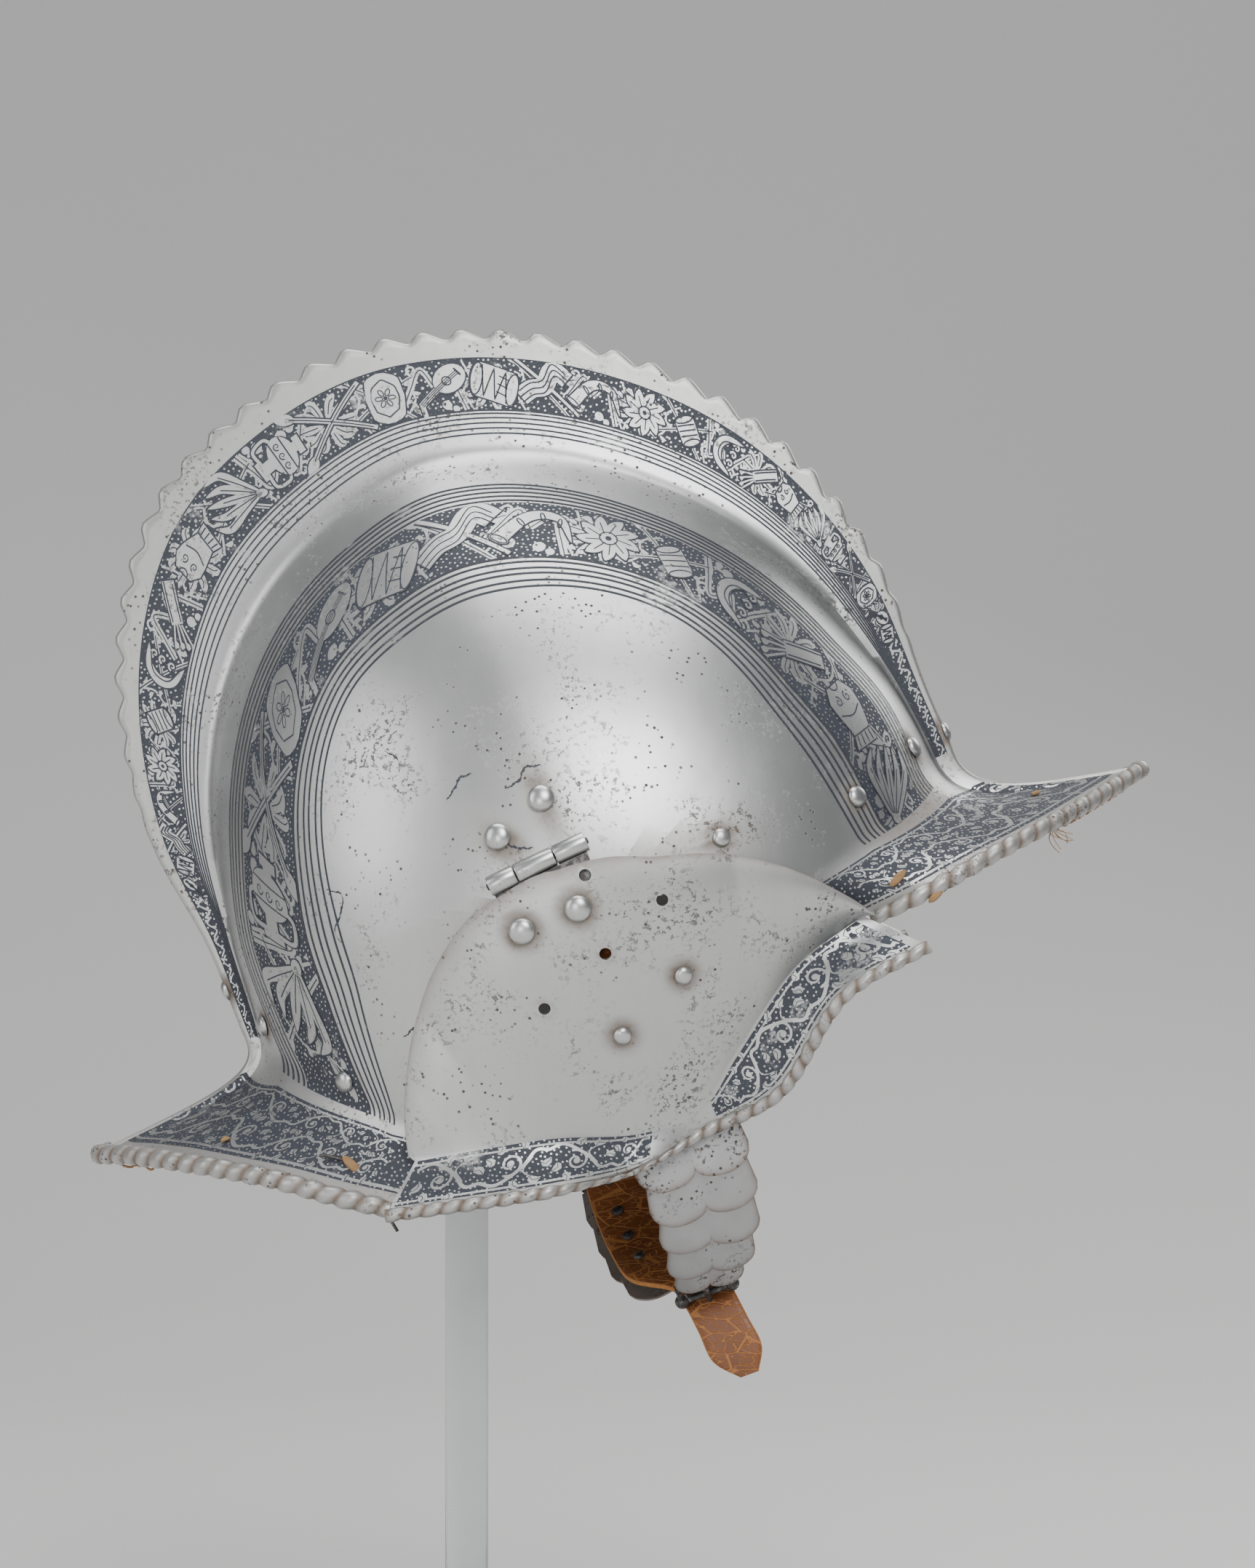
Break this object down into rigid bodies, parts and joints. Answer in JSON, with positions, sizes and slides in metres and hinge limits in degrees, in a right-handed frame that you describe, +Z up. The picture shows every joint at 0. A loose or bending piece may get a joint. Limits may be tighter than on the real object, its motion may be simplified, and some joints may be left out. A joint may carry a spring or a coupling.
{
  "type": "morion helmet on a display stand",
  "caption": "Steel comb morion with hinged cheekpieces, etched bands, roped edges and a scaled leather chin strap, on a clear display stand.",
  "frame": {"origin": "centre of the stand base's underside, under the post", "axes": "+Z up, +X towards the helmet's front, +Y towards the wearer's left"},
  "size_m": [0.3383, 0.1964, 0.441],
  "materials": {
    "steel": "polished plate steel with etched bands on a blackened ground, pitted and browned at the edges",
    "rivet_steel": "domed rivet heads, worn bright, brown round the rim",
    "scale_steel": "thin satin steel scales, lightly pitted",
    "buckle_iron": "dark brown patinated iron",
    "strap_leather": "cracked cognac leather with raw orange edges",
    "lining_cord": "frayed remains of leather thongs and cord",
    "wire": "dull drawn wire",
    "clear_acrylic": "clear acrylic, faintly hazed",
    "stand_felt": "grey felt"
  },
  "bodies": {
    "root": {"skull": "steel", "right_cheekpiece": "steel", "left_cheekpiece": "steel", "right_hinge_upper_leaf": "steel", "left_hinge_upper_leaf": "steel", "right_hinge_lower_leaf": "steel", "left_hinge_lower_leaf": "steel", "right_hinge_pin": "steel", "left_hinge_pin": "steel", "right_skull_rivet_1": "rivet_steel", "left_skull_rivet_1": "rivet_steel", "right_skull_rivet_2": "rivet_steel", "left_skull_rivet_2": "rivet_steel", "right_skull_rivet_3": "rivet_steel", "left_skull_rivet_3": "rivet_steel", "right_skull_rivet_4": "rivet_steel", "left_skull_rivet_4": "rivet_steel", "right_skull_rivet_5": "rivet_steel", "left_skull_rivet_5": "rivet_steel", "right_hinge_rivet_1": "rivet_steel", "left_hinge_rivet_1": "rivet_steel", "right_hinge_rivet_2": "rivet_steel", "left_hinge_rivet_2": "rivet_steel", "right_cheek_rivet_1": "rivet_steel", "left_cheek_rivet_1": "rivet_steel", "right_cheek_rivet_2": "rivet_steel", "left_cheek_rivet_2": "rivet_steel", "right_cheek_rivet_3": "rivet_steel", "left_cheek_rivet_3": "rivet_steel", "right_cheek_rivet_4": "rivet_steel", "left_cheek_rivet_4": "rivet_steel", "front_ridge_rivet": "rivet_steel", "rear_ridge_rivet": "rivet_steel", "right_strap": "strap_leather", "right_scale_1": "scale_steel", "right_scale_2": "scale_steel", "right_scale_3": "scale_steel", "right_scale_4": "scale_steel", "right_scale_5": "scale_steel", "right_scale_6": "scale_steel", "left_strap": "strap_leather", "left_scale_1": "scale_steel", "left_scale_2": "scale_steel", "left_scale_3": "scale_steel", "left_scale_4": "scale_steel", "left_scale_5": "scale_steel", "left_scale_6": "scale_steel", "buckle_frame": "buckle_iron", "buckle_prong": "buckle_iron", "stand": "clear_acrylic", "stand_pad": "stand_felt"}
  },
  "joints": []
}
